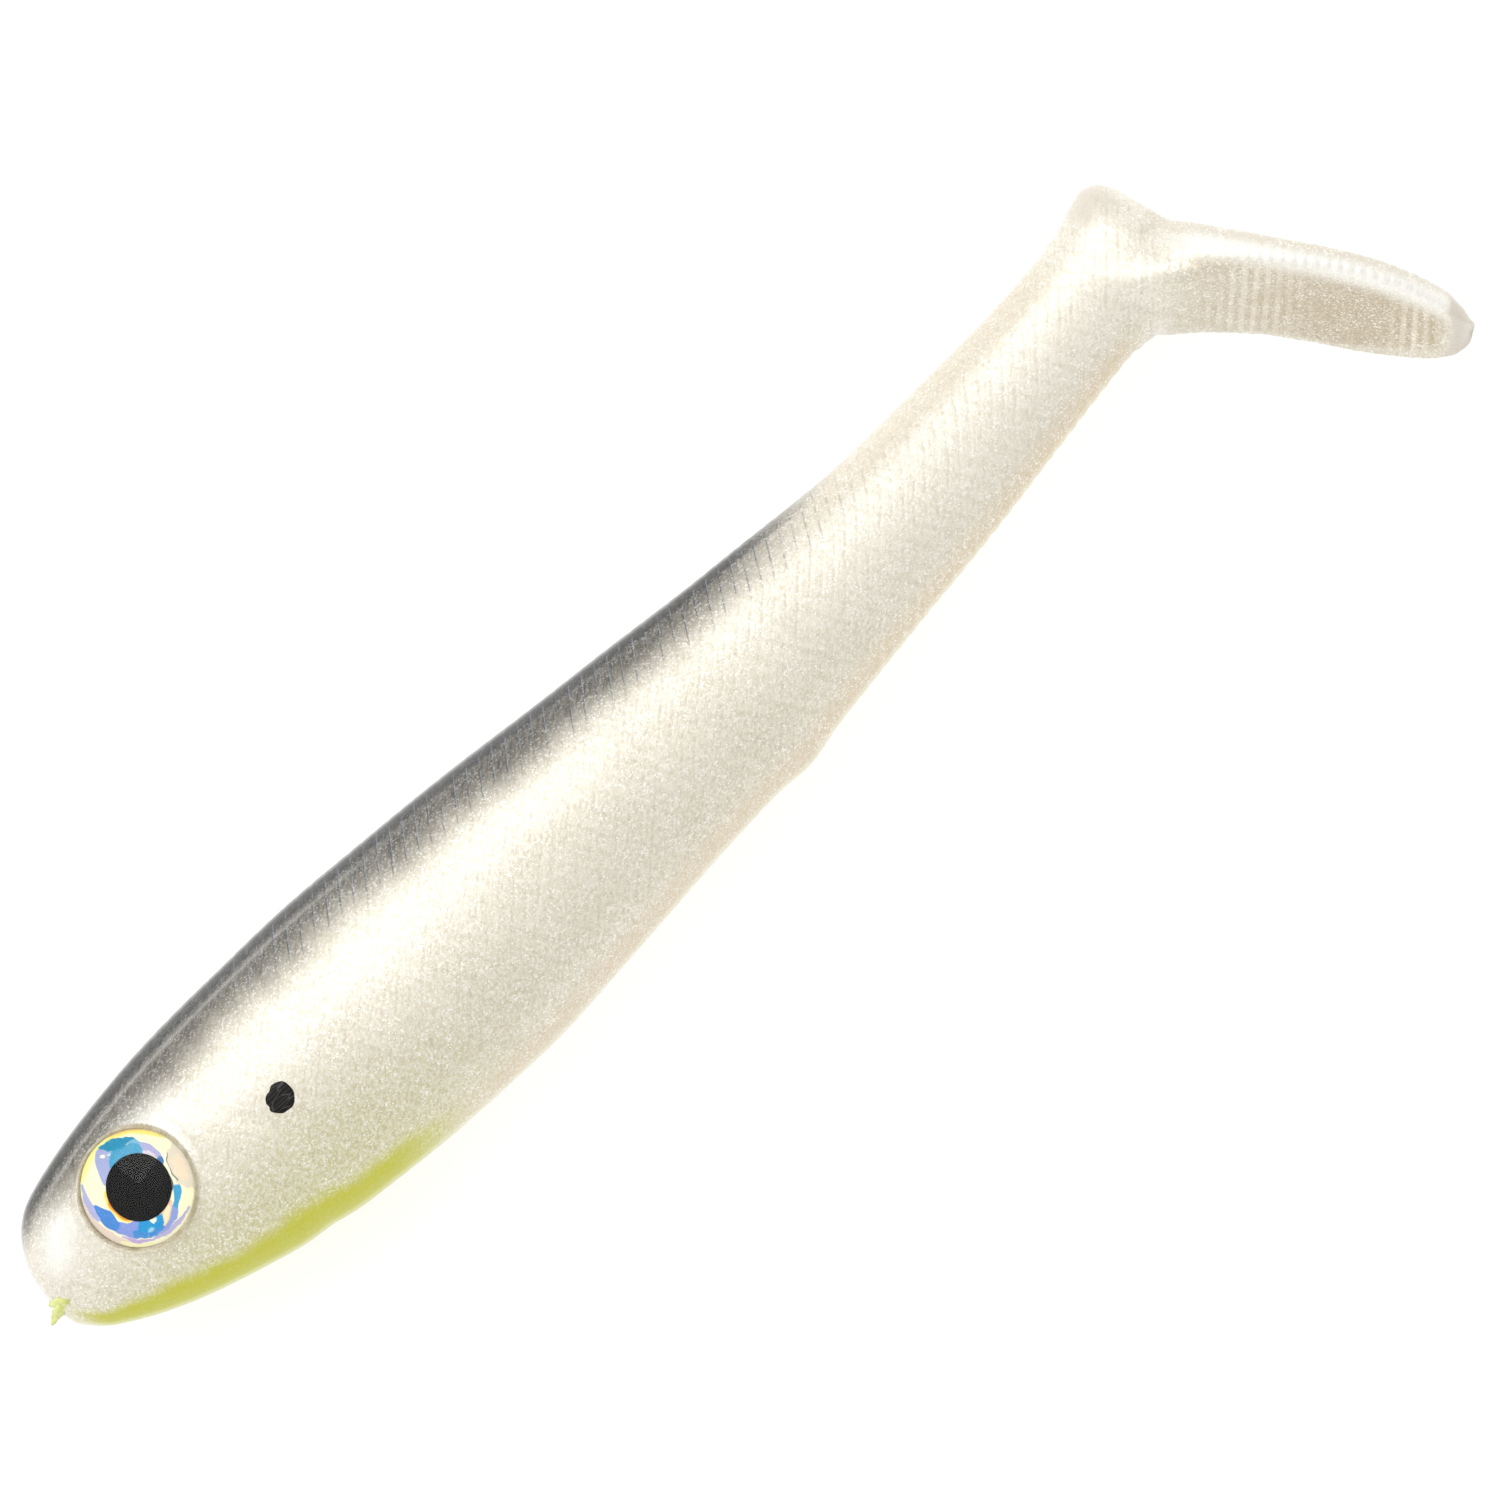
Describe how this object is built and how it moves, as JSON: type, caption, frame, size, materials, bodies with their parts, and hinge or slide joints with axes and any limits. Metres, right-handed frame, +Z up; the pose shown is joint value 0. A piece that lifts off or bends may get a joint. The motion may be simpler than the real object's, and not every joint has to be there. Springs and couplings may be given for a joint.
{
  "type": "paddle tail swimbait",
  "caption": "Soft plastic paddle-tail swimbait lying on its side, with a pearl body under a clear skin, a smoke back, a chartreuse throat, holographic eyes and a flexing tail.",
  "frame": {"origin": "middle of the bounding box in plan, on the surface that the bait lies on", "axes": "+X from the nose to the tail paddle, +Y from the belly to the back, +Z up, out of the left flank; the bait lies on its right flank"},
  "size_m": [0.1419, 0.0316, 0.0196],
  "materials": {
    "pearl": "pearl white plastisol with fine glitter, satin",
    "pearl_tail": "pearl white plastisol, a little more translucent",
    "clear_skin": "clear plastisol with a fine netted surface",
    "smoke": "smoke grey plastisol",
    "chartreuse": "chartreuse plastisol",
    "eye_glue": "dried clear adhesive",
    "eye_foil": "holographic foil",
    "pupil": "black print",
    "eye_dome": "clear epoxy dome"
  },
  "bodies": {
    "front": {"front_core": "pearl", "front_clear_skin": "clear_skin", "front_back_stripe": "smoke", "throat_patch": "chartreuse", "mouth_gate_nub": "chartreuse", "eye_glue_left": "eye_glue", "eye_foil_left": "eye_foil", "eye_pupil_left": "pupil", "eye_dome_left": "eye_dome", "eye_glue_right": "eye_glue", "eye_foil_right": "eye_foil", "eye_pupil_right": "pupil", "eye_dome_right": "eye_dome"},
    "rear": {"rear_core": "pearl", "rear_clear_skin": "clear_skin", "rear_back_stripe": "smoke"},
    "stem": {"stem_core": "pearl_tail", "stem_clear_skin": "clear_skin"},
    "paddle": {"paddle_core": "pearl_tail", "paddle_clear_skin": "clear_skin"}
  },
  "joints": [
    {"name": "rear_body_sway", "type": "hinge", "parent": "front", "child": "rear", "pos_m": [-0.00095, 0.00455, 0.00976], "axis": [0, -1, 0], "range_deg": [-12, 12], "stiffness_Nm_per_rad": 0.06},
    {"name": "tail_stem_sway", "type": "hinge", "parent": "rear", "child": "stem", "pos_m": [0.02705, 0.00581, 0.00894], "axis": [0, -1, 0], "range_deg": [-20, 20], "stiffness_Nm_per_rad": 0.02},
    {"name": "paddle_kick", "type": "hinge", "parent": "stem", "child": "paddle", "pos_m": [0.04805, 0.00841, 0.00765], "axis": [0, -1, 0], "range_deg": [-40, 40], "stiffness_Nm_per_rad": 0.006}
  ]
}
